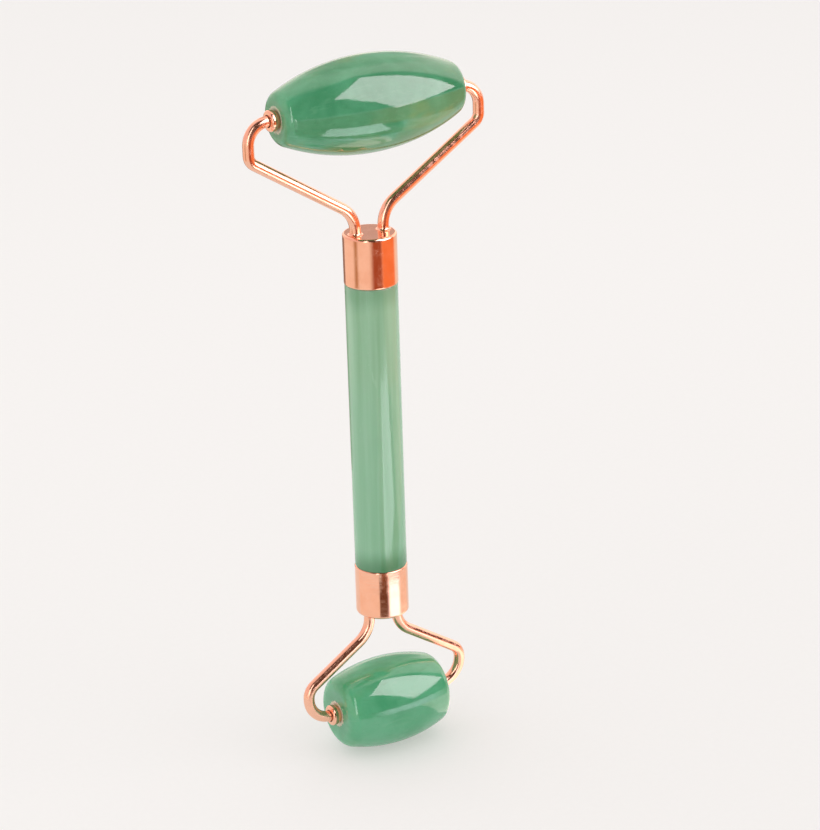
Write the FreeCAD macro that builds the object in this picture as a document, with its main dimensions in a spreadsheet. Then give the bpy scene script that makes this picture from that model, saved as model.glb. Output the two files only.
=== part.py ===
import FreeCAD, Part
import math
import os

import Sketcher
from FreeCAD import Placement, Rotation, Vector

# Jade face roller: a stone rod with a wire fork at each end, and a barrel stone turning in each fork.
#
# Frame, in millimetres: the origin is the middle of the handle, +Z runs along the handle towards the
# large roller, and +X runs along the axles of both rollers, so both forks lie in the XZ plane.
#
# The two ends of the tool are built alike, so every end piece is drawn once in an end frame: +Z
# points out of the handle and +X towards the right-hand arm.  The large end's frame is the tool's
# own, and the small end's is the same frame turned half a turn about X.

SIZES = {
    # the stone rod and its reduced ends
    "handle_dia": 10.8,
    "grip_length": 61.6,
    "shoulder_round": 0.25,
    "tenon_dia": 9.4,
    "tenon_length": 7.0,
    "peg_hole_dia": 3.4,
    "peg_hole_depth": 6.5,
    # the metal cups on the rod's ends
    "ferrule_dia": 11.0,
    "ferrule_length": 10.6,
    "ferrule_bore": 9.9,
    "ferrule_wall": 0.8,
    "ferrule_lip": 0.3,
    "large_ferrule_edge": 0.55,
    "small_ferrule_edge": 0.55,
    # what holds the wires inside a cup
    "disc_thick": 1.6,
    "peg_dia": 3.0,
    "peg_length": 9.1,
    "peg_bevel": 0.4,
    # the bent wire of the forks
    "wire_dia": 2.3,
    "wire_spread": 3.25,
    "large_bend_height": 4.15,
    "small_bend_height": 4.3,
    "arm_slope": 32.8,
    "root_bend": 6.0,
    "large_reach": 26.2,
    "large_elbow": 2.4,
    "large_turn": 4.3,
    "large_axle_rise": 26.4,
    "small_reach": 18.4,
    "small_elbow": 3.2,
    "small_turn": 5.0,
    "small_axle_rise": 21.1,
    "stub_depth": 6.1,
    "braze_width": 0.5,
    "braze_lip": 0.04,
    # the barrel stones
    "large_stone_length": 40.84,
    "large_stone_shift": 0.38,
    "large_stone_dia": 19.6,
    "large_stone_end": 9.9,
    "large_stone_rim": 2.2,
    "small_stone_length": 24.4,
    "small_stone_shift": 0.2,
    "small_stone_dia": 18.7,
    "small_stone_end": 13.9,
    "small_stone_rim": 2.8,
    "stone_bore": 3.5,
    "mouth_dia": 4.8,
    "mouth_depth": 0.25,
    # the collared bushes in the stones
    "bush_bore": 2.6,
    "bush_depth": 6.3,
    "neck_length": 0.3,
    "collar_dia": 4.3,
    "collar_proud": 1.7,
    "collar_round": 0.45,
    "collar_back_round": 0.3,
}

doc = FreeCAD.newDocument("face_roller")
sheet = doc.addObject("Spreadsheet::Sheet", "Sizes")
for row, (alias, value) in enumerate(SIZES.items(), start=1):
    sheet.set("A%d" % row, alias)
    sheet.set("B%d" % row, str(value))
    sheet.setAlias("B%d" % row, alias)
doc.recompute()

# Places that several pieces share, as expressions on the sheet.  Heights are in an end frame.
SHOULDER = "Sizes.grip_length / 2"
FACE = "(Sizes.grip_length / 2 + Sizes.ferrule_length)"
WALL_BACK = "(%s - Sizes.ferrule_wall)" % FACE
DISC_BACK = "(%s - Sizes.disc_thick)" % WALL_BACK
TENON_END = "(Sizes.grip_length / 2 + Sizes.tenon_length)"
HOLE_END = "(%s - Sizes.peg_hole_depth)" % TENON_END
PEG_END = "(%s - Sizes.peg_length)" % WALL_BACK

END_TURN = {"large": Rotation(), "small": Rotation(Vector(1, 0, 0), 180)}
END_SIGN = {"large": 1, "small": -1}
SIDE_TURN = {"right": Rotation(), "left": Rotation(Vector(0, 0, 1), 180)}
SIDE_SIGN = {"right": 1, "left": -1}

ORIGIN_POINT = (-1, 1)
H_AXIS = -1
V_AXIS = -2
START, END, CENTRE = 1, 2, 3

# Tolerances: finding an edge (mm), and checking a cut or a swept volume (as a share of it).
SAME_PLACE = 1e-4
SAME_VOLUME = 0.005

parts = []


def number(expression):
    """The value of an expression on the sheet."""
    return float(sheet.evalExpression(expression))


def new_body(label):
    """An empty body that becomes one sub-part."""
    body = doc.addObject("PartDesign::Body", label)
    body.Label = label
    parts.append(body)
    return body


def place(body, turn, **at):
    """Turn a body, and put its origin at the coordinates given as expressions."""
    body.Placement = Placement(Vector(), turn)
    for axis, expression in at.items():
        body.setExpression("Placement.Base.%s" % axis, expression)


def new_sketch(body, name, role, height=None):
    """A sketch on one of the body's own origin planes, lifted by height if one is given."""
    plane = [p for p in body.Origin.OriginFeatures if p.Role == role][0]
    sketch = body.newObject("Sketcher::SketchObject", name)
    sketch.AttachmentSupport = [(plane, "")]
    sketch.MapMode = "FlatFace"
    if height:
        sketch.setExpression("AttachmentOffset.Base.z", height)
    return sketch


def bind(sketch, kind, *where):
    """Add a constraint whose last argument is an expression on the sheet."""
    expression = where[-1]
    index = sketch.addConstraint(Sketcher.Constraint(kind, *where[:-1], number(expression)))
    sketch.setExpression("Constraints[%d]" % index, expression)


def pin_down(sketch, point, u, v):
    """Hold a sketch point at (u, v), two expressions; "0" puts it on the axis."""
    if u == "0":
        sketch.addConstraint(Sketcher.Constraint("PointOnObject", *point, V_AXIS))
    else:
        bind(sketch, "DistanceX", *ORIGIN_POINT, *point, u)
    if v == "0":
        sketch.addConstraint(Sketcher.Constraint("PointOnObject", *point, H_AXIS))
    else:
        bind(sketch, "DistanceY", *ORIGIN_POINT, *point, v)


def arc_between(start, end, radius, side):
    """The minor arc from start to end; side is +1 if its centre is left of the chord, else -1."""
    chord = end - start
    middle = (start + end) / 2
    left = Vector(-chord.y, chord.x, 0).normalize()
    centre = middle + left * side * math.sqrt(radius**2 - (chord.Length / 2) ** 2)
    angles = [math.atan2(p.y - centre.y, p.x - centre.x) for p in (start, end)]
    if side < 0:
        angles.reverse()
    if angles[1] < angles[0]:
        angles[1] += 2 * math.pi
    return Part.ArcOfCircle(Part.Circle(centre, Vector(0, 0, 1), radius), *angles)


def closed_outline(sketch, corners, arcs=None):
    """A closed outline through corners, pairs of expressions.

    arcs maps the index of a curved edge to its (radius expression, side of its centre).
    """
    arcs = arcs or {}
    points = [Vector(number(u), number(v), 0) for u, v in corners]
    ends = []
    for i, start in enumerate(points):
        end = points[(i + 1) % len(points)]
        if i in arcs:
            radius, side = arcs[i]
            edge = sketch.addGeometry(arc_between(start, end, number(radius), side))
            ends.append((edge, (START, END) if side > 0 else (END, START)))
        else:
            edge = sketch.addGeometry(Part.LineSegment(start, end))
            ends.append((edge, (START, END)))
    for i, (edge, (first, last)) in enumerate(ends):
        following, (next_first, _) = ends[(i + 1) % len(ends)]
        sketch.addConstraint(Sketcher.Constraint("Coincident", edge, last, following, next_first))
        pin_down(sketch, (edge, first), *corners[i])
        if i in arcs:
            bind(sketch, "Radius", edge, arcs[i][0])


def circles(sketch, places, diameter):
    """Circles of one diameter centred at places, pairs of expressions."""
    for u, v in places:
        centre = Vector(number(u), number(v), 0)
        radius = number(diameter) / 2
        edge = sketch.addGeometry(Part.Circle(centre, Vector(0, 0, 1), radius))
        bind(sketch, "Diameter", edge, diameter)
        pin_down(sketch, (edge, CENTRE), u, v)


def revolve(body, corners, axis="V_Axis", arcs=None):
    """Turn an outline in the XZ plane once about the body's Z (V_Axis) or X (H_Axis)."""
    sketch = new_sketch(body, body.Name + "_outline", "XZ_Plane")
    closed_outline(sketch, corners, arcs)
    solid = body.newObject("PartDesign::Revolution", body.Name + "_turned")
    solid.Profile = sketch
    solid.ReferenceAxis = (sketch, [axis])
    solid.Angle = 360
    doc.recompute()
    return solid


def drill(body, places, diameter, height, depth):
    """Pocket round holes downwards from height, and make sure that they cut."""
    before = body.Shape.Volume
    sketch = new_sketch(body, body.Name + "_holes", "XY_Plane", height)
    circles(sketch, places, diameter)
    pocket = body.newObject("PartDesign::Pocket", body.Name + "_drilled")
    pocket.Profile = sketch
    pocket.Type = "Length"
    pocket.setExpression("Length", depth)
    doc.recompute()
    area = math.pi * (number(diameter) / 2) ** 2
    cut = before - body.Shape.Volume
    if abs(cut - len(places) * area * number(depth)) > SAME_VOLUME * cut:
        raise RuntimeError("%s: the holes cut %.3f mm3" % (body.Label, cut))
    return pocket


def round_rings(body, solid, rings, axis="z"):
    """Fillet round edges of solid; rings are (position along axis, edge radius, fillet size)."""
    for position, radius, size in rings:
        names = []
        for i, edge in enumerate(solid.Shape.Edges, start=1):
            if not isinstance(edge.Curve, Part.Circle):
                continue
            off_place = getattr(edge.Curve.Center, axis) - number(position)
            off_size = edge.Curve.Radius - number(radius)
            if max(abs(off_place), abs(off_size)) < SAME_PLACE:
                names.append("Edge%d" % i)
        if not names:
            raise RuntimeError("%s: no round edge at %s" % (body.Label, position))
        fillet = body.newObject("PartDesign::Fillet", body.Name + "_round")
        fillet.Base = (solid, names)
        fillet.setExpression("Radius", size)
        doc.recompute()
        solid = fillet
    return solid


def handle_stone():
    """The rod: full diameter in the hand, a reduced end in each cup, and a blind hole in each."""
    body = new_body("handle_stone")
    half = [
        ("0", HOLE_END),
        ("Sizes.peg_hole_dia / 2", HOLE_END),
        ("Sizes.peg_hole_dia / 2", TENON_END),
        ("Sizes.tenon_dia / 2", TENON_END),
        ("Sizes.tenon_dia / 2", SHOULDER),
        ("Sizes.handle_dia / 2", SHOULDER),
    ]
    lower = [(u, "-(%s)" % v) for u, v in half]
    rod = revolve(body, half + lower[::-1])
    heights = (SHOULDER, "-(%s)" % SHOULDER)
    round_rings(body, rod, [(z, "Sizes.handle_dia / 2", "Sizes.shoulder_round") for z in heights])


def ferrule(end):
    """The cup: its open end sits on the rod's shoulder and its end wall is drilled for the wires."""
    body = new_body(end + "_ferrule")
    outside = "Sizes.ferrule_dia / 2"
    cup = revolve(
        body,
        [
            ("Sizes.ferrule_bore / 2", SHOULDER),
            (outside, SHOULDER),
            (outside, FACE),
            ("0", FACE),
            ("0", WALL_BACK),
            ("Sizes.ferrule_bore / 2", WALL_BACK),
        ],
    )
    edge = "Sizes.%s_ferrule_edge" % end
    round_rings(body, cup, [(FACE, outside, edge), (SHOULDER, outside, "Sizes.ferrule_lip")])
    drill(body, wire_places(), "Sizes.wire_dia", FACE, "Sizes.ferrule_wall")
    place(body, END_TURN[end])


def wire_places():
    """Where the two wires of a fork pass through the cup's end wall."""
    return [("Sizes.wire_spread", "0"), ("-Sizes.wire_spread", "0")]


def anchor_disc(end):
    """The disc behind the end wall, drilled for the two wires and for the peg between them."""
    body = new_body(end + "_anchor_disc")
    sketch = new_sketch(body, body.Name + "_outline", "XY_Plane", DISC_BACK)
    circles(sketch, [("0", "0")], "Sizes.ferrule_bore")
    disc = body.newObject("PartDesign::Pad", body.Name + "_pad")
    disc.Profile = sketch
    disc.setExpression("Length", "Sizes.disc_thick")
    doc.recompute()
    drill(body, wire_places(), "Sizes.wire_dia", WALL_BACK, "Sizes.disc_thick")
    drill(body, [("0", "0")], "Sizes.peg_dia", WALL_BACK, "Sizes.disc_thick")
    place(body, END_TURN[end])


def peg(end):
    """The pin from the disc into the rod, bevelled at the tip that goes into the stone."""
    body = new_body(end + "_peg")
    shank = "Sizes.peg_dia / 2"
    revolve(
        body,
        [
            ("0", PEG_END),
            (shank + " - Sizes.peg_bevel", PEG_END),
            (shank, PEG_END + " + Sizes.peg_bevel"),
            (shank, WALL_BACK),
            ("0", WALL_BACK),
        ],
    )
    place(body, END_TURN[end])


def adhesive(end):
    """The epoxy: a sleeve round the reduced end, a bed under the disc and a sleeve round the peg."""
    body = new_body(end + "_adhesive")
    shank = "Sizes.peg_dia / 2"
    revolve(
        body,
        [
            ("0", HOLE_END),
            ("Sizes.peg_hole_dia / 2", HOLE_END),
            ("Sizes.peg_hole_dia / 2", TENON_END),
            ("Sizes.tenon_dia / 2", TENON_END),
            ("Sizes.tenon_dia / 2", SHOULDER),
            ("Sizes.ferrule_bore / 2", SHOULDER),
            ("Sizes.ferrule_bore / 2", DISC_BACK),
            (shank, DISC_BACK),
            (shank, PEG_END + " + Sizes.peg_bevel"),
            (shank + " - Sizes.peg_bevel", PEG_END),
            ("0", PEG_END),
        ],
    )
    place(body, END_TURN[end])


def braze(end, side):
    """The small hollow fillet of filler where a wire leaves the end wall."""
    body = new_body("%s_%s_braze" % (end, side))
    wire = "Sizes.wire_dia / 2"
    lip = "Sizes.braze_lip"
    foot = wire + " + Sizes.braze_width"
    revolve(
        body,
        [
            (wire, "0"),
            (foot + " + " + lip, "0"),
            (foot + " + " + lip, lip),
            (wire + " + " + lip, "Sizes.braze_width + " + lip),
            (wire, "Sizes.braze_width + " + lip),
        ],
        arcs={2: ("Sizes.braze_width", -1)},
    )
    across = "%d * Sizes.wire_spread" % SIDE_SIGN[side]
    place(body, END_TURN[end], x=across, z="%d * %s" % (END_SIGN[end], FACE))


def bent_centreline(sketch, corners, radii):
    """Straight runs through corners, pairs of expressions, with a tangent bend at each inner one."""
    points = [Vector(number(u), number(v), 0) for u, v in corners]
    bends = []
    for before, corner, after, radius in zip(points, points[1:], points[2:], radii):
        back = (before - corner).normalize()
        ahead = (after - corner).normalize()
        reach = number(radius) / math.tan(back.getAngle(ahead) / 2)
        bends.append((corner + back * reach, corner + ahead * reach))
    stops = [points[0]] + [p for bend in bends for p in bend] + [points[-1]]

    runs = [
        sketch.addGeometry(Part.LineSegment(stops[i], stops[i + 1])) for i in range(0, len(stops), 2)
    ]
    marks = [sketch.addGeometry(Part.Point(p), True) for p in points]
    for mark, (u, v) in zip(marks, corners):
        pin_down(sketch, (mark, 1), u, v)
    for i, run in enumerate(runs):
        for mark, end in ((marks[i], START), (marks[i + 1], END)):
            if mark in (marks[0], marks[-1]):
                sketch.addConstraint(Sketcher.Constraint("Coincident", run, end, mark, 1))
            else:
                sketch.addConstraint(Sketcher.Constraint("PointOnObject", mark, 1, run))
    for i, (start, end) in enumerate(bends):
        turn = (end - stops[2 * i]).cross(points[i + 1] - stops[2 * i]).z
        side = 1 if turn < 0 else -1
        bend = sketch.addGeometry(arc_between(start, end, number(radii[i]), side))
        first, last = (START, END) if side > 0 else (END, START)
        sketch.addConstraint(Sketcher.Constraint("Tangent", runs[i], END, bend, first))
        sketch.addConstraint(Sketcher.Constraint("Tangent", bend, last, runs[i + 1], START))
        bind(sketch, "Radius", bend, radii[i])


def arm(end, side):
    """One side of a fork: out of the cup, along a slope, up to the axle and in, ending as its stub."""
    body = new_body("%s_%s_arm" % (end, side))
    root = FACE + " + Sizes.%s_bend_height" % end
    slope_rise = "(Sizes.%s_reach - Sizes.wire_spread) * tan(Sizes.arm_slope)" % end
    axle = FACE + " + Sizes.%s_axle_rise" % end
    reach = "Sizes.%s_reach" % end
    corners = [
        ("Sizes.wire_spread", DISC_BACK),
        ("Sizes.wire_spread", root),
        (reach, root + " + " + slope_rise),
        (reach, axle),
        ("Sizes.%s_stone_length / 2 - Sizes.stub_depth" % end, axle),
    ]
    path = new_sketch(body, body.Name + "_centreline", "XZ_Plane")
    bent_centreline(path, corners, ["Sizes.root_bend", "Sizes.%s_elbow" % end, "Sizes.%s_turn" % end])
    section = new_sketch(body, body.Name + "_section", "XY_Plane", DISC_BACK)
    circles(section, [("Sizes.wire_spread", "0")], "Sizes.wire_dia")
    doc.recompute()
    wire = body.newObject("PartDesign::AdditivePipe", body.Name + "_wire")
    wire.Profile = section
    wire.Spine = path
    doc.recompute()
    area = math.pi * (number("Sizes.wire_dia") / 2) ** 2
    if abs(body.Shape.Volume - area * path.Shape.Length) > SAME_VOLUME * body.Shape.Volume:
        raise RuntimeError("%s: its volume isn't its section times its length" % body.Label)
    place(body, END_TURN[end] * SIDE_TURN[side])


def axle_height(end):
    """The height of a roller's axis, in the tool's frame."""
    return "%d * (%s + Sizes.%s_axle_rise)" % (END_SIGN[end], FACE, end)


def roller_stone(end):
    """A barrel about X, bored through, with a widened mouth and a rounded rim at each end.
    It has a little play along its axle, and rests a hair to the right of the middle."""
    body = new_body(end + "_roller_stone")
    half = "Sizes.%s_stone_length / 2" % end
    end_radius = "Sizes.%s_stone_end / 2" % end
    bore = "Sizes.stone_bore / 2"
    mouth = "Sizes.mouth_dia / 2"
    bulge = "((Sizes.%s_stone_dia - Sizes.%s_stone_end) / 2)" % (end, end)
    right = [
        (half + " - Sizes.mouth_depth", bore),
        (half, mouth),
        (half, end_radius),
    ]
    left = [("-(%s)" % u, v) for u, v in right]
    arc_radius = "((%s)^2 + %s^2) / (2 * %s)" % (half, bulge, bulge)
    barrel = revolve(body, right + left[::-1], axis="H_Axis", arcs={2: (arc_radius, 1)})
    rims = [(x, end_radius, "Sizes.%s_stone_rim" % end) for x in (half, "-(%s)" % half)]
    round_rings(body, barrel, rims, axis="x")
    place(body, Rotation(), x="Sizes.%s_stone_shift" % end, z=axle_height(end))


def bush(end, side):
    """A bush whose tube fills the stone's bore, with a rounded collar on a short neck outside it."""
    body = new_body("%s_%s_bush" % (end, side))
    bore = "Sizes.bush_bore / 2"
    tube = "Sizes.stone_bore / 2"
    collar = "Sizes.collar_dia / 2"
    neck = "Sizes.neck_length"
    proud = "Sizes.collar_proud"
    solid = revolve(
        body,
        [
            ("-Sizes.bush_depth", bore),
            ("-Sizes.bush_depth", tube),
            (neck, tube),
            (neck, collar),
            (proud, collar),
            (proud, bore),
        ],
        axis="H_Axis",
    )
    edges = [
        (proud, collar, "Sizes.collar_round"),
        (neck, collar, "Sizes.collar_back_round"),
    ]
    round_rings(body, solid, edges, axis="x")
    across = "%d * Sizes.%s_stone_length / 2 + Sizes.%s_stone_shift" % (SIDE_SIGN[side], end, end)
    place(body, SIDE_TURN[side], x=across, z=axle_height(end))


handle_stone()
for end in ("large", "small"):
    ferrule(end)
    anchor_disc(end)
    peg(end)
    adhesive(end)
    roller_stone(end)
    for side in ("left", "right"):
        arm(end, side)
        braze(end, side)
        bush(end, side)

doc.recompute()
for item in doc.Objects:
    if {"Invalid", "Error"} & set(item.State):
        raise RuntimeError("%s is %s" % (item.Label, item.State))
for body in parts:
    if body.Shape.isNull() or not body.Shape.isValid() or len(body.Shape.Solids) != 1:
        raise RuntimeError("%s isn't one valid solid" % body.Label)

os.makedirs("parts", exist_ok=True)
for body in parts:
    body.Shape.exportStep("parts/%s.step" % body.Label)
    print("%-22s %9.2f mm3" % (body.Label, body.Shape.Volume))
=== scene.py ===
"""Looks for the jade face roller: materials, floor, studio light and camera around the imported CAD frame."""
import math

import bpy
from mathutils import Matrix, Vector


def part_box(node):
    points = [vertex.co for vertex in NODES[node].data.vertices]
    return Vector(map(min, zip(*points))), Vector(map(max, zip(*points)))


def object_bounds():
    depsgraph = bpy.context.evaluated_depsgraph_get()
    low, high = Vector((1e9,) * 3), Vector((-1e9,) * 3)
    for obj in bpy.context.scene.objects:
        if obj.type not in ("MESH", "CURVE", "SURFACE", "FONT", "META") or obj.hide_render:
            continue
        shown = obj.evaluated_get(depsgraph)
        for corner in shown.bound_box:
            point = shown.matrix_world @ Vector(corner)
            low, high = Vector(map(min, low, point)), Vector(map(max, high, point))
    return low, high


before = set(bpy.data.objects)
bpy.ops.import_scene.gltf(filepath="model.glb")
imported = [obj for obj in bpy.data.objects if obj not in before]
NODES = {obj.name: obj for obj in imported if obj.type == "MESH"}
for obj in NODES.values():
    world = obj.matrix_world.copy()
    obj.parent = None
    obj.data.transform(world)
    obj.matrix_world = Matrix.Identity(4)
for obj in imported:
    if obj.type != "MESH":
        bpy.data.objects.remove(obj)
CAD_BOX = [list(corner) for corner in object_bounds()]
MM = 0.001

# ---------------------------------------------------------------- camera

CAMERA_PLACE = Vector((-282.71, -495.28, 224.58)) * MM
CAMERA_AIM = Vector((0.47163, 0.80329, -0.36371))
CAMERA_ROLL = math.radians(1.76)
CAMERA_LENS = 130.12
SENSOR_WIDTH = 36.0


def make_camera():
    """A long lens, above and to the left of the tool, rolled by a hair."""
    data = bpy.data.cameras.new("camera")
    data.lens = CAMERA_LENS
    data.sensor_width = SENSOR_WIDTH
    data.clip_start = 0.02
    data.clip_end = 60.0
    camera = bpy.data.objects.new("camera", data)
    bpy.context.scene.collection.objects.link(camera)
    level = CAMERA_AIM.to_track_quat("-Z", "Y").to_matrix().to_4x4()
    camera.matrix_world = Matrix.Translation(CAMERA_PLACE) @ level @ Matrix.Rotation(-CAMERA_ROLL, 4, "Z")
    bpy.context.scene.camera = camera


# ---------------------------------------------------------------- small node helpers

class Graph:
    """A material's or world's node tree, with one short method for each kind of node used here."""

    def __init__(self, tree):
        self.tree = tree
        self.tree.nodes.clear()

    def node(self, kind, **settings):
        made = self.tree.nodes.new(kind)
        for name, value in settings.items():
            setattr(made, name, value)
        return made

    def join(self, value, socket):
        if isinstance(value, bpy.types.NodeSocket):
            self.tree.links.new(value, socket)
        else:
            socket.default_value = value

    def millimetres(self, stretch=(1.0, 1.0, 1.0), shift=(0.0, 0.0, 0.0)):
        """The object's own coordinates in millimetres, stretched along its axes."""
        place = self.node("ShaderNodeTexCoord").outputs["Object"]
        mapping = self.node("ShaderNodeMapping")
        self.join(place, mapping.inputs["Vector"])
        mapping.inputs["Scale"].default_value = [1000.0 * s for s in stretch]
        mapping.inputs["Location"].default_value = shift
        return mapping.outputs["Vector"]

    def noise(self, vector, size, detail=3.0, rough=0.5, distortion=0.0):
        """Noise whose features are about size millimetres across."""
        made = self.node("ShaderNodeTexNoise")
        self.join(vector, made.inputs["Vector"])
        made.inputs["Scale"].default_value = 1.0 / size
        made.inputs["Detail"].default_value = detail
        made.inputs["Roughness"].default_value = rough
        made.inputs["Distortion"].default_value = distortion
        return made.outputs["Fac"]

    def span(self, value, low, high, to_low=0.0, to_high=1.0):
        """value from low to high, turned into to_low to to_high and clamped."""
        made = self.node("ShaderNodeMapRange")
        made.interpolation_type = "SMOOTHSTEP"
        self.join(value, made.inputs["Value"])
        made.inputs["From Min"].default_value = low
        made.inputs["From Max"].default_value = high
        made.inputs["To Min"].default_value = to_low
        made.inputs["To Max"].default_value = to_high
        return made.outputs["Result"]

    def math(self, operation, a, b=0.0):
        made = self.node("ShaderNodeMath", operation=operation)
        self.join(a, made.inputs[0])
        self.join(b, made.inputs[1])
        return made.outputs[0]

    def dot(self, vector, direction):
        made = self.node("ShaderNodeVectorMath", operation="DOT_PRODUCT")
        self.join(vector, made.inputs[0])
        self.join(direction, made.inputs[1])
        return made.outputs["Value"]

    def blend(self, factor, a, b, kind="MIX"):
        """Colour a, going to colour b as factor goes from 0 to 1."""
        made = self.node("ShaderNodeMix", data_type="RGBA", blend_type=kind)
        self.join(factor, made.inputs["Factor"])
        self.join(solid(a), made.inputs["A"])
        self.join(solid(b), made.inputs["B"])
        return made.outputs["Result"]

    def bump(self, height, depth, strength=1.0, normal=None):
        """A bump depth metres high where height is 1."""
        made = self.node("ShaderNodeBump")
        made.inputs["Strength"].default_value = strength
        made.inputs["Distance"].default_value = depth
        self.join(height, made.inputs["Height"])
        if normal is not None:
            self.join(normal, made.inputs["Normal"])
        return made.outputs["Normal"]

    def principled(self, **inputs):
        shader = self.node("ShaderNodeBsdfPrincipled")
        for name, value in inputs.items():
            self.join(value, shader.inputs[name.replace("_", " ")])
        output = self.node("ShaderNodeOutputMaterial")
        self.join(shader.outputs[0], output.inputs["Surface"])
        return shader


def solid(colour):
    """A colour given as three numbers, with its alpha added."""
    if isinstance(colour, tuple) and len(colour) == 3:
        return (*colour, 1.0)
    return colour


def new_material(name):
    material = bpy.data.materials.new(name)
    material.use_nodes = True
    return material, Graph(material.node_tree)


def dress(material, *names):
    """Puts a material in every slot of the named CAD nodes."""
    for name in names:
        mesh = NODES[name].data
        if not mesh.materials:
            mesh.materials.append(material)
        for index in range(len(mesh.materials)):
            mesh.materials[index] = material


# ---------------------------------------------------------------- stone

# Radius in millimetres of the unpolished ring round each drilled mouth.
MOUTH_RADIUS = 2.75
# Colours of the roller stones' deeper and paler clouds.
JADE_DEEP = {"large": (0.062, 0.285, 0.138), "small": (0.068, 0.348, 0.170)}
JADE_PALE = {"large": (0.106, 0.372, 0.205), "small": (0.112, 0.412, 0.228)}


def ground_mouths(g, colour, rough, axle, half):
    """The drilled hole's dished mouth was ground and never polished: it is paler and more matt."""
    place = g.node("ShaderNodeSeparateXYZ")
    g.join(g.millimetres(shift=(0.0, 0.0, -axle)), place.inputs[0])
    along = g.math("ABSOLUTE", place.outputs["X"])
    off_axis = g.node("ShaderNodeCombineXYZ")
    g.join(place.outputs["Y"], off_axis.inputs[1])
    g.join(place.outputs["Z"], off_axis.inputs[2])
    length = g.node("ShaderNodeVectorMath", operation="LENGTH")
    g.join(off_axis.outputs[0], length.inputs[0])
    waver = g.span(g.noise(g.millimetres(), 0.5), 0.3, 0.7, -0.15, 0.15)
    radius = g.math("ADD", length.outputs["Value"], waver)
    ring = g.span(radius, MOUTH_RADIUS + 0.2, MOUTH_RADIUS - 0.2)
    at_end = g.span(along, half - 1.2, half - 0.5)
    ground = g.math("MULTIPLY", ring, at_end)
    chalk = g.blend(g.noise(g.millimetres(), 0.25, detail=3.0), (0.74, 0.68, 0.48), (0.88, 0.82, 0.64))
    colour = g.blend(g.math("MULTIPLY", ground, 0.85), colour, chalk)
    return colour, g.math("ADD", rough, g.math("MULTIPLY", ground, 0.30))


def olive_shade_and_warm_reflection(g, colour, axle):
    """Painted shade and reflection on the side of the large stone that hangs down at rest: a darker olive
    band along the underside is painted shade, and a yellower patch above it on the right is a painted warm
    reflection.
    """
    place = g.node("ShaderNodeSeparateXYZ")
    g.join(g.millimetres(shift=(0.0, 0.0, -axle)), place.inputs[0])
    waver = g.span(g.noise(g.millimetres(), 5.0, detail=3.0), 0.3, 0.7, -1.2, 1.2)
    height = g.math("ADD", place.outputs["Z"], waver)
    # Painted warm reflection: a yellower patch low on the right side.
    rightwards = g.span(place.outputs["X"], 2.0, 9.0, 0.0, 0.38)
    warm_reflection = g.math("MULTIPLY", g.span(height, -0.8, -3.2), rightwards)
    colour = g.blend(warm_reflection, colour, (0.245, 0.335, 0.125))
    # Painted shade: a darker olive band along the underside.
    return g.blend(g.span(height, -3.8, -6.2, 0.0, 0.42), colour, (0.130, 0.245, 0.065))


def make_roller_jade(end):
    """Deep green translucent stone: clouds, thin sloping layers, pale inclusions and fine specks."""
    material, g = new_material(end + "_roller_jade")
    shift = {"large": (0.0, 0.0, 0.0), "small": (3.0, 1.0, 2.0)}[end]
    mossy = {"large": 0.50, "small": 0.12}[end]
    mm = g.millimetres(shift=shift)
    clouds = g.noise(mm, 9.0, detail=4.0, rough=0.55, distortion=0.4)
    colour = g.blend(g.span(clouds, 0.35, 0.68), JADE_DEEP[end], JADE_PALE[end])
    layered = g.millimetres(stretch=(0.35, 0.8, 1.3), shift=shift)
    layers = g.noise(layered, 2.2, detail=5.0, rough=0.6, distortion=0.8)
    colour = g.blend(g.span(layers, 0.54, 0.78, 0.0, 0.40), colour, (0.060, 0.245, 0.102))
    colour = g.blend(g.span(layers, 0.46, 0.25, 0.0, 0.35), colour, (0.175, 0.430, 0.265))
    moss = g.noise(g.millimetres(stretch=(0.6, 1.0, 1.0), shift=(7.0, 3.0, 5.0)), 7.5, detail=3.0)
    colour = g.blend(g.span(moss, 0.56, 0.76, 0.0, mossy), colour, (0.215, 0.325, 0.095))
    specks = g.noise(mm, 0.32, detail=2.0, rough=0.6)
    colour = g.blend(g.span(specks, 0.64, 0.76, 0.0, 0.30), colour, (0.21, 0.46, 0.30))
    colour = g.blend(g.span(specks, 0.36, 0.26, 0.0, 0.25), colour, (0.03, 0.19, 0.09))
    haze = g.noise(mm, 3.0, detail=4.0)
    rough = g.span(haze, 0.3, 0.75, 0.045, 0.115)
    low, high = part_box(end + "_roller_stone")
    axle = (low.z + high.z) / 2 / MM
    if end == "large":
        # Painted shade along the underside and a painted warm reflection low on the right of the large stone.
        colour = olive_shade_and_warm_reflection(g, colour, axle)
    colour, rough = ground_mouths(g, colour, rough, axle, high.x / MM)
    ripple = g.bump(g.noise(mm, 2.6, detail=2.0), 0.00001, strength=0.5)
    pits = g.bump(g.noise(mm, 0.12, detail=2.0), 0.000002, strength=0.35, normal=ripple)
    g.principled(
        Base_Color=colour,
        Roughness=rough,
        IOR=1.68,
        Normal=pits,
        Subsurface_Weight=0.75,
        Subsurface_Radius=(0.55, 1.0, 0.75),
        Subsurface_Scale=0.0045,
    )
    return material


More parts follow.
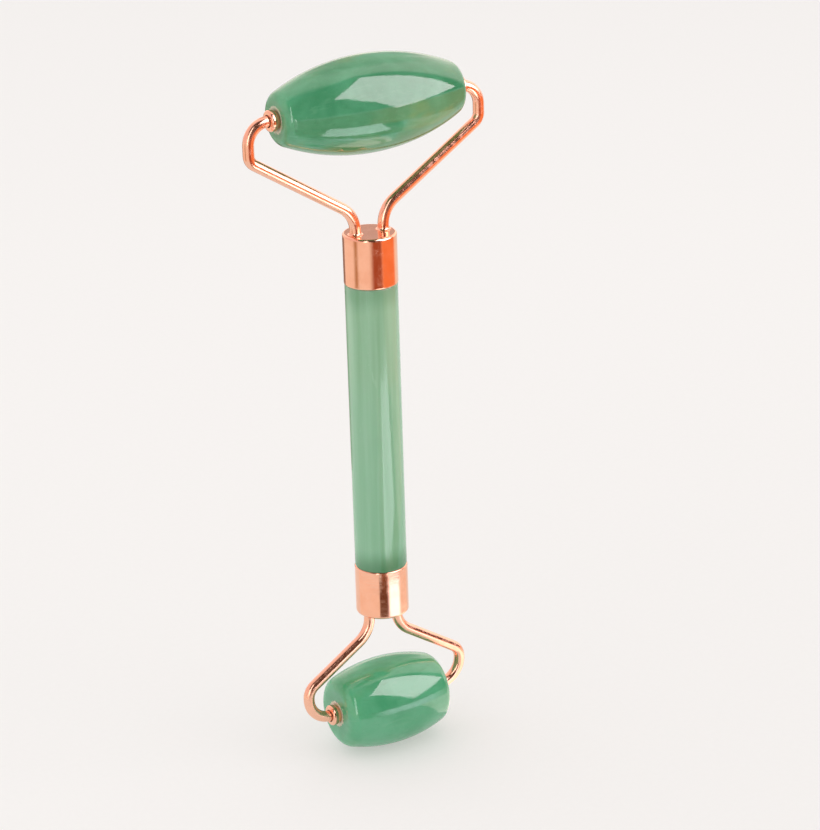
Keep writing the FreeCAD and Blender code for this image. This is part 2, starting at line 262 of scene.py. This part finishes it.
def make_handle_jade():
    """The paler stone of the rod: long soft streaks, darker towards its lower end, and painted shade where it
    goes into the cups.
    """
    material, g = new_material("handle_jade")
    mm = g.millimetres()
    along = g.millimetres(stretch=(1.0, 1.0, 0.035))
    streaks = g.noise(along, 1.9, detail=4.0, rough=0.5, distortion=0.3)
    colour = g.blend(g.span(streaks, 0.30, 0.72), (0.258, 0.470, 0.300), (0.334, 0.548, 0.382))
    clouds = g.noise(g.millimetres(stretch=(1.0, 1.0, 0.4)), 8.0, detail=3.0)
    colour = g.blend(g.span(clouds, 0.52, 0.75, 0.0, 0.35), colour, (0.19, 0.44, 0.26))
    veined = g.millimetres(stretch=(1.0, 1.0, 0.12), shift=(3.0, 9.0, 1.0))
    veins = g.noise(veined, 1.1, detail=5.0, distortion=1.2)
    colour = g.blend(g.span(veins, 0.60, 0.74, 0.0, 0.25), colour, (0.40, 0.62, 0.46))
    specks = g.noise(mm, 0.3, detail=2.0, rough=0.6)
    colour = g.blend(g.span(specks, 0.64, 0.76, 0.0, 0.25), colour, (0.44, 0.65, 0.50))
    place = g.node("ShaderNodeSeparateXYZ")
    g.join(mm, place.inputs[0])
    colour = g.blend(g.span(place.outputs["Z"], 18.0, -26.0, 0.0, 0.40), colour, (0.185, 0.440, 0.262))
    half_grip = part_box("large_ferrule")[0].z / MM
    height = g.math("ADD", place.outputs["Z"], g.span(clouds, 0.3, 0.7, -0.6, 0.6))
    # Painted shade where the stone goes into the cups, deepest at the lower cup.
    shade_at_lower_cup = g.span(height, 5.6 - half_grip, 0.4 - half_grip, 0.0, 0.95)
    shade_at_upper_cup = g.span(height, half_grip - 6.0, half_grip - 1.0, 0.0, 0.38)
    colour = g.blend(g.math("MAXIMUM", shade_at_lower_cup, shade_at_upper_cup), colour, (0.088, 0.255, 0.125))
    haze = g.noise(mm, 3.0, detail=4.0)
    rough = g.span(haze, 0.3, 0.75, 0.06, 0.14)
    ripple = g.bump(g.noise(along, 2.0, detail=2.0), 0.00001, strength=0.5)
    pits = g.bump(g.noise(mm, 0.12, detail=2.0), 0.000002, strength=0.35, normal=ripple)
    g.principled(
        Base_Color=colour,
        Roughness=rough,
        IOR=1.6,
        Normal=pits,
        Subsurface_Weight=0.75,
        Subsurface_Radius=(0.6, 1.0, 0.75),
        Subsurface_Scale=0.003,
    )
    return material


# ---------------------------------------------------------------- metal

ROSE_GOLD = (0.955, 0.545, 0.390)
ROSE_GOLD_DULL = (0.880, 0.440, 0.285)


def make_rose_gold(name, grain, rough=0.14, wear=0.5, lathe=0.0):
    """Polished plating: uneven colour, faint haze, hairline scratches along grain and a soft ripple.

    lathe is the height in millimetres of the faint polishing rings that run round a cup.
    """
    material, g = new_material(name)
    mm = g.millimetres()
    cloud = g.noise(mm, 3.5, detail=3.0)
    colour = g.blend(g.span(cloud, 0.40, 0.75, 0.0, wear), ROSE_GOLD, ROSE_GOLD_DULL)
    scratches = g.noise(g.millimetres(stretch=grain), 0.10, detail=3.0, rough=0.65)
    marks = g.noise(mm, 0.7, detail=4.0, rough=0.7)
    haze = g.span(g.noise(mm, 1.6, detail=4.0), 0.35, 0.75, rough * 0.7, rough * 1.5)
    dull = g.span(marks, 0.62, 0.72, 0.0, 0.10)
    bumpy = g.bump(g.noise(mm, 1.8, detail=2.0), 0.00001, strength=0.6)
    if lathe:
        rings = g.noise(g.millimetres(stretch=(0.12, 0.12, 1.0)), 0.55, detail=3.0, rough=0.55)
        bumpy = g.bump(rings, lathe * MM, strength=1.0, normal=bumpy)
    lines = g.bump(scratches, 0.0000015, strength=0.5, normal=bumpy)
    g.principled(
        Base_Color=colour,
        Metallic=1.0,
        Roughness=g.math("ADD", haze, dull),
        Normal=lines,
        Specular_Tint=(1.0, 0.93, 0.88, 1.0),
    )
    return material


def make_steel():
    """Brushed steel of the hidden discs and pegs."""
    material, g = new_material("anchor_steel")
    lines = g.noise(g.millimetres(stretch=(0.08, 1.0, 1.0)), 0.12, detail=3.0)
    colour = g.blend(lines, (0.42, 0.42, 0.43), (0.60, 0.60, 0.61))
    g.principled(Base_Color=colour, Metallic=1.0, Roughness=g.span(lines, 0.3, 0.7, 0.25, 0.42))
    return material


def make_epoxy():
    """Pale amber glue, slightly cloudy."""
    material, g = new_material("epoxy")
    cloud = g.noise(g.millimetres(), 1.2, detail=3.0)
    colour = g.blend(cloud, (0.62, 0.50, 0.30), (0.74, 0.66, 0.46))
    g.principled(Base_Color=colour, Roughness=g.span(cloud, 0.3, 0.7, 0.2, 0.4), IOR=1.5)
    return material


def make_materials():
    ends = ("large", "small")
    sides = ("left", "right")
    dress(make_handle_jade(), "handle_stone")
    for end in ends:
        dress(make_roller_jade(end), end + "_roller_stone")
    ferrules = [f"{end}_ferrule" for end in ends]
    dress(make_rose_gold("ferrule_rose_gold", (0.35, 0.35, 1.6), lathe=0.012), *ferrules)
    wires = [f"{end}_{side}_arm" for end in ends for side in sides]
    dress(make_rose_gold("wire_rose_gold", (1.0, 1.0, 0.4), rough=0.19), *wires)
    bushes = [f"{end}_{side}_bush" for end in ends for side in sides]
    dress(make_rose_gold("bush_rose_gold", (0.5, 1.0, 1.0), rough=0.13), *bushes)
    brazes = [f"{end}_{side}_braze" for end in ends for side in sides]
    dress(make_rose_gold("braze_rose_gold", (1.0, 1.0, 1.0), rough=0.16, wear=0.8), *brazes)
    dress(make_steel(), *[f"{end}_{part}" for end in ends for part in ("anchor_disc", "peg")])
    dress(make_epoxy(), *[f"{end}_adhesive" for end in ends])


# ---------------------------------------------------------------- floor

def make_floor():
    """A wide pale matt floor just under the small roller. It glows a little, so that shadows stay soft."""
    low = CAD_BOX[0][2]
    bpy.ops.mesh.primitive_circle_add(vertices=96, radius=8.0, fill_type="NGON", location=(0, 0, low))
    floor = bpy.context.object
    floor.name = "studio_floor"
    material, g = new_material("studio_floor")
    grain = g.noise(g.millimetres(), 1.3, detail=4.0)
    matt = g.node("ShaderNodeBsdfDiffuse")
    g.join(g.blend(grain, (0.470, 0.465, 0.460), (0.490, 0.485, 0.480)), matt.inputs["Color"])
    g.join(g.bump(grain, 0.00002, strength=0.3), matt.inputs["Normal"])
    glow = g.node("ShaderNodeEmission")
    g.join(solid((0.412, 0.393, 0.385)), glow.inputs["Color"])
    both = g.node("ShaderNodeAddShader")
    g.join(matt.outputs[0], both.inputs[0])
    g.join(glow.outputs[0], both.inputs[1])
    output = g.node("ShaderNodeOutputMaterial")
    g.join(both.outputs[0], output.inputs["Surface"])
    floor.data.materials.append(material)


# ---------------------------------------------------------------- light

# Directions from the tool, by which the mirrored surroundings are parted.
ROOM_RIGHTWARDS = (0.906, -0.423, 0.20)
ROOM_FORWARDS = (-0.087, -0.996, 0.0)
UNDER_CEILING = (0.403, -0.896, -0.188)
PALE_RIGHTWARDS = (1.0, 0.3, 0.0)
HIGH_BEHIND = (0.406, 0.579, 0.707)
LOW_BEHIND = (0.467, 0.809, 0.358)
BEAM = (-0.390, -0.500, 0.773)
LAMP_SIDE = (0.57, -0.82, 0.0)


def mirrored_room(g, direction):
    """A pale room with a dim part in front, under a slanting ceiling line, and a dark beam overhead."""
    right_of_left_edge = g.span(g.dot(direction, ROOM_RIGHTWARDS), -0.38, 0.16)
    front_of_wall = g.span(g.dot(direction, ROOM_FORWARDS), 0.0, 0.12)
    under_ceiling = g.span(g.dot(direction, UNDER_CEILING), -0.01, 0.03)
    room = g.math("MULTIPLY", g.math("MULTIPLY", right_of_left_edge, front_of_wall), under_ceiling)
    rightwards = g.span(g.dot(direction, PALE_RIGHTWARDS), -0.35, 0.85)
    pale = g.blend(rightwards, (0.98, 0.74, 0.72), (1.75, 1.42, 1.36))
    pale = g.blend(g.span(g.dot(direction, HIGH_BEHIND), 0.89, 0.985), pale, (0.80, 0.58, 0.54))
    pale = g.blend(g.span(g.dot(direction, LOW_BEHIND), 0.965, 0.990), pale, (0.62, 0.52, 0.50))
    pale = g.blend(g.span(g.dot(direction, BEAM), 0.74, 0.93), pale, (0.06, 0.025, 0.012))
    return g.blend(room, pale, (0.11, 0.065, 0.045))


def make_world():
    """A plain backdrop, with one room for reflections and a softer one for matt light."""
    world = bpy.data.worlds.new("studio")
    bpy.context.scene.world = world
    world.use_nodes = True
    g = Graph(world.node_tree)
    direction = g.node("ShaderNodeTexCoord").outputs["Generated"]
    towards_lamp = g.span(g.dot(direction, LAMP_SIDE), -0.4, 0.9)
    softened = g.blend(towards_lamp, (1.16, 1.15, 1.14), (0.70, 0.68, 0.66))
    glossy = background(g, mirrored_room(g, direction))
    diffuse = background(g, softened)
    plain = background(g, (0.90, 0.885, 0.875))
    path = g.node("ShaderNodeLightPath")
    lit = either(g, path.outputs["Is Glossy Ray"], diffuse, glossy)
    seen = either(g, path.outputs["Is Camera Ray"], lit, plain)
    output = g.node("ShaderNodeOutputWorld")
    g.join(seen, output.inputs["Surface"])


def background(g, colour):
    made = g.node("ShaderNodeBackground")
    g.join(solid(colour), made.inputs["Color"])
    made.inputs["Strength"].default_value = 1.0
    return made.outputs[0]


def either(g, factor, first, second):
    """The first shader where factor is 0 and the second where it is 1."""
    made = g.node("ShaderNodeMixShader")
    g.join(factor, made.inputs[0])
    g.join(first, made.inputs[1])
    g.join(second, made.inputs[2])
    return made.outputs[0]


def area_light(name, place, across, up, radiance, colour=(1.0, 1.0, 1.0)):
    """A rectangular lamp at place, in millimetres, whose sides are the vectors across and up."""
    across, up = Vector(across) * MM, Vector(up) * MM
    data = bpy.data.lights.new(name, "AREA")
    data.shape = "RECTANGLE"
    data.size = across.length
    data.size_y = up.length
    data.energy = radiance * math.pi * across.length * up.length
    data.color = colour
    lamp = bpy.data.objects.new(name, data)
    x = across.normalized()
    z = x.cross(up).normalized()
    turn = Matrix((x, z.cross(x), z)).transposed().to_4x4()
    lamp.matrix_world = Matrix.Translation(Vector(place) * MM) @ turn
    lamp.visible_camera = False
    bpy.context.scene.collection.objects.link(lamp)
    return lamp


def make_lights():
    """A softbox to the front right, seen as the big reflection, and a tall window on the left."""
    box_place = (195.5, -253.8, 253.0)
    box_across = (144.0, 292.5, 82.0)
    box_up = (-278.0, 22.5, 382.0)
    shine = area_light("softbox_shine", box_place, box_across, box_up, 4.7, (1.0, 0.84, 0.92))
    shine.visible_diffuse = False
    glow = area_light("softbox_glow", box_place, box_across, box_up, 3.4, (1.0, 0.99, 0.98))
    glow.visible_glossy = False
    slit_across = (232.0, -249.0, 0.0)
    slit_up = (0.0, 0.0, 1820.0)
    slit = area_light("window_slit", (-1014.0, -946.0, 810.0), slit_across, slit_up, 2.8)
    slit.visible_diffuse = False


# Colours of the made-up room that shows in the polished pieces.
PALE_WALL = (1.0, 0.85, 0.75)
DOOR_FRAME = (0.5, 0.3, 0.15)
DARK_SHELF = (0.4, 0.1, 0.04)
ORANGE_SHELF = (1.0, 0.3, 0.1)
DARK_GAP = (0.15, 0.06, 0.03)
WHITE_EDGE = (2.3, 2.2, 2.5)
# Flat strips in a card that is bent round the handle's axis.
WRAP_STEPS = 48


def bearing(g, wander):
    """Degrees round the handle's axis from the front, going right, give or take wander degrees."""
    place = g.node("ShaderNodeSeparateXYZ")
    g.join(g.millimetres(), place.inputs[0])
    around = g.math("ARCTAN2", place.outputs["X"], g.math("MULTIPLY", place.outputs["Y"], -1.0))
    waver = g.span(g.noise(g.millimetres(), 60.0, detail=4.0, rough=0.6), 0.3, 0.7, -wander, wander)
    return g.math("ADD", g.math("MULTIPLY", around, 180.0 / math.pi), waver)


def between(g, turn, start, end, soft):
    """1 from start to end degrees and 0 elsewhere, with edges that are soft degrees wide."""
    after = g.span(turn, start - soft / 2, start + soft / 2)
    before = g.span(turn, end + soft / 2, end - soft / 2)
    return g.math("MULTIPLY", after, before)


def far_room(g):
    """A pale room, with a door frame on the left, a dark shelf in front and an orange one on the right."""
    turn = bearing(g, 2.0)
    colour = g.blend(between(g, turn, -100.0, -85.0, 15.0), PALE_WALL, DOOR_FRAME)
    colour = g.blend(between(g, turn, -25.0, 25.0, 25.0), colour, DARK_SHELF)
    return g.blend(between(g, turn, 20.0, 90.0, 15.0), colour, ORANGE_SHELF)


def near_table(g):
    """The edge of a white table in front, with a dark gap on its left."""
    turn = bearing(g, 0.0)
    colour = g.blend(between(g, turn, -40.0, 0.0, 5.0), PALE_WALL, DARK_GAP)
    return g.blend(between(g, turn, 0.0, 50.0, 20.0), colour, WHITE_EDGE)


def hang(name, points, faces, colour, strength=1.0):
    """A glowing card that only reflections see. colour is a function that makes its colour nodes."""
    mesh = bpy.data.meshes.new(name)
    mesh.from_pydata([Vector(point) * MM for point in points], [], faces)
    card = bpy.data.objects.new(name, mesh)
    bpy.context.scene.collection.objects.link(card)
    material, g = new_material(name)
    glow = g.node("ShaderNodeEmission")
    g.join(colour(g), glow.inputs["Color"])
    glow.inputs["Strength"].default_value = strength
    output = g.node("ShaderNodeOutputMaterial")
    g.join(glow.outputs[0], output.inputs["Surface"])
    mesh.materials.append(material)
    card.visible_camera = False
    card.visible_diffuse = False
    card.visible_shadow = False
    card.visible_transmission = False


def mottled(dark, light):
    """Two colours in soft patches a few centimetres across."""
    def colour(g):
        patches = g.noise(g.millimetres(), 45.0, detail=4.0, rough=0.6)
        return g.blend(g.span(patches, 0.38, 0.62), dark, light)

    return colour


def lay(name, height, outline, dark, light):
    """A card that lies height millimetres over the floor."""
    floor = CAD_BOX[0][2] / MM
    points = [(x, y, floor + height) for x, y in outline]
    hang(name, points, [list(range(len(points)))], mottled(dark, light))


def wrap(name, inner, outer, start, end, colour):
    """A card bent round the handle's axis between two circles, each given as (radius, height)."""
    floor = CAD_BOX[0][2] / MM
    turns = [math.radians(start + (end - start) * i / WRAP_STEPS) for i in range(WRAP_STEPS + 1)]
    points = []
    for radius, height in (inner, outer):
        points += [(radius * math.sin(t), -radius * math.cos(t), floor + height) for t in turns]
    row = WRAP_STEPS + 1
    faces = [[i, i + 1, i + 1 + row, i + row] for i in range(WRAP_STEPS)]
    hang(name, points, faces, colour)


def make_cards():
    """What a polished tool reflects: the far room, the edge of a white table and what lies between."""
    front = [(-45, -75), (-145, -310), (190, -280), (100, -55), (10, -80)]
    lay("dark_front", 0.4, front, (0.20, 0.08, 0.04), (0.55, 0.20, 0.08))
    right = [(100, -60), (180, -200), (240, -60), (240, 40), (150, 20)]
    lay("pale_right", 0.8, right, (1.10, 0.80, 0.60), (1.35, 1.00, 0.80))
    near = [(15, -10), (40, -60), (75, -50), (80, 5), (20, 5)]
    lay("lit_table", 0.3, near, (1.90, 1.65, 1.50), (2.30, 2.00, 1.85))
    behind = [(-30, 150), (45, 150), (330, 900), (-280, 900)]
    lay("dim_behind", 1.6, behind, (0.26, 0.20, 0.17), (0.40, 0.32, 0.28))
    tilted = [(-20, -100, 2), (90, -100, 2), (90, -190, 14), (-20, -190, 14)]
    points = [(x, y, CAD_BOX[0][2] / MM + height) for x, y, height in tilted]
    hang("white_table", points, [[0, 1, 2, 3]], mottled((0.97, 0.97, 0.97), (1.0, 1.0, 1.0)), 3.0)
    wrap("far_room", (215.0, 2.0), (3000.0, 2.0), -165.0, 105.0, far_room)
    wrap("near_table", (65.0, 0.3), (65.0, 13.0), -140.0, 100.0, near_table)


bpy.context.scene.view_settings.view_transform = "Standard"
make_camera()
make_materials()
make_floor()
make_world()
make_lights()
make_cards()
